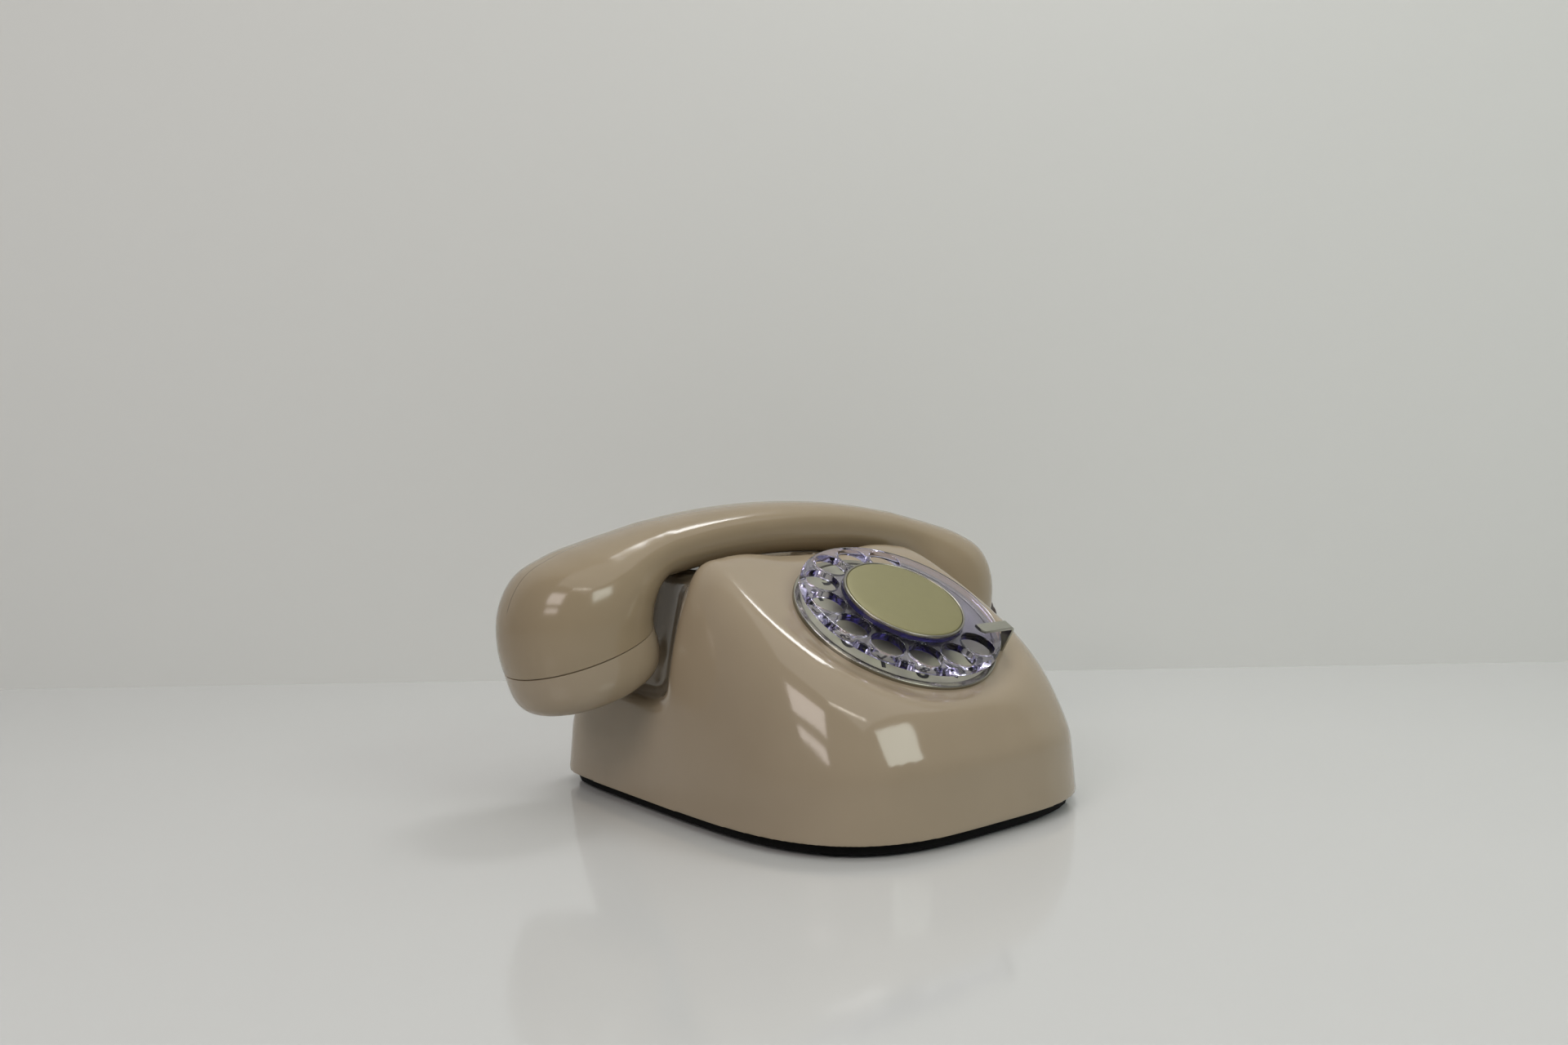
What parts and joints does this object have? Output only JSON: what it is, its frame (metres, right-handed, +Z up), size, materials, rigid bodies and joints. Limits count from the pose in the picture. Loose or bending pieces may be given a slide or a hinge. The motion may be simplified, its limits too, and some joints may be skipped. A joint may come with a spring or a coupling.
{
  "type": "rotary table telephone",
  "caption": "Table telephone with a tilted rotary dial, a see-through finger wheel, a handset across its top and a coiled cord.",
  "frame": {"origin": "on the table surface, under the middle of the telephone's outline without its cord", "axes": "+Z up; the dial faces -Y; +X to the right seen from the front, along the handset"},
  "size_m": [0.2562, 0.2, 0.111],
  "materials": {
    "ivory_plastic": "gloss",
    "black_moulding": "matte",
    "black_rubber": "matte",
    "zinc_steel": "satin",
    "satin_steel": "satin",
    "chrome_ring": "polished",
    "number_plate_enamel": "satin",
    "clear_wheel": "clear",
    "centre_gold": "satin",
    "gear_brass": "satin",
    "gong_brass": "polished",
    "white_nylon": "satin",
    "board_phenolic": "matte",
    "coil_copper": "satin",
    "capacitor_can": "satin",
    "capsule_can": "satin",
    "wire_insulation": "satin",
    "brown_cord": "satin"
  },
  "bodies": {
    "base": {"housing": "ivory_plastic", "base_plate": "black_moulding", "base_feet": "black_rubber", "base_screws": "zinc_steel", "line_inlet": "black_moulding", "cord_inlet": "brown_cord", "bezel_ring": "chrome_ring", "number_plate": "number_plate_enamel", "dial_top_plate": "zinc_steel", "dial_case": "zinc_steel", "return_spring": "zinc_steel", "pulse_contacts": "gear_brass", "finger_stop": "satin_steel", "dial_screws": "zinc_steel", "switch_bracket": "zinc_steel", "switch_contacts": "gear_brass", "switch_screws": "zinc_steel", "network_board": "board_phenolic", "induction_coil": "coil_copper", "capacitor": "capacitor_can", "terminal_block": "white_nylon", "board_screws": "zinc_steel", "ringer_frame": "zinc_steel", "ringer_coils": "coil_copper", "gongs": "gong_brass", "gong_screws": "zinc_steel", "handset_cord": "brown_cord"},
    "dial": {"finger_wheel": "clear_wheel", "centre_plate": "centre_gold", "centre_rim": "chrome_ring", "dial_shaft": "zinc_steel", "main_gear": "gear_brass", "pulse_cam": "white_nylon"},
    "governor": {"governor_pinion": "gear_brass", "governor_weights": "gear_brass"},
    "handset": {"handset_shell": "ivory_plastic", "ear_cap": "ivory_plastic", "mouth_cap": "ivory_plastic", "receiver_capsule": "capsule_can", "transmitter_capsule": "capsule_can", "capsule_contacts": "board_phenolic", "handset_wires": "wire_insulation", "handset_boot": "brown_cord"},
    "left_plunger": {"plunger_left": "ivory_plastic"},
    "right_plunger": {"plunger_right": "ivory_plastic"},
    "hook_lever": {"switch_lever": "zinc_steel"},
    "ringer_clapper": {"clapper": "gear_brass"}
  },
  "joints": [
    {"name": "dial_turn", "type": "hinge", "parent": "base", "child": "dial", "pos_m": [0, -0.0383, 0.0687], "axis": [0, 0.512, -0.859], "range_deg": [0, 330], "stiffness_Nm_per_rad": 0.004, "springref_deg": -57.3},
    {"name": "governor_spin", "type": "hinge", "parent": "base", "child": "governor", "pos_m": [0, -0.02018, 0.0795], "axis": [0, 0.512, -0.859], "range_deg": [-1320, 0]},
    {"name": "handset_lift", "type": "slide", "parent": "base", "child": "handset", "axis": [0, 0, 1], "range_m": [0, 0.1]},
    {"name": "left_plunger_rise", "type": "slide", "parent": "base", "child": "left_plunger", "axis": [0, 0, 1], "range_m": [0, 0.005]},
    {"name": "right_plunger_rise", "type": "slide", "parent": "base", "child": "right_plunger", "axis": [0, 0, 1], "range_m": [0, 0.005]},
    {"name": "hook_lever_tilt", "type": "hinge", "parent": "base", "child": "hook_lever", "pos_m": [0, 0.052, 0.0687], "axis": [-1, 0, 0], "range_deg": [0, 13.8]},
    {"name": "clapper_swing", "type": "hinge", "parent": "base", "child": "ringer_clapper", "pos_m": [0.016, 0.023, 0.017], "axis": [0, 0, 1], "range_deg": [-4.5, 4.5], "stiffness_Nm_per_rad": 0.002}
  ],
  "couplings": [
    {"joint": "governor_spin", "follows": "dial_turn", "ratio": -4},
    {"joint": "left_plunger_rise", "follows": "handset_lift", "ratio": 0.05},
    {"joint": "right_plunger_rise", "follows": "handset_lift", "ratio": 0.05},
    {"joint": "hook_lever_tilt", "follows": "handset_lift", "rad_per_m": 2.4}
  ]
}
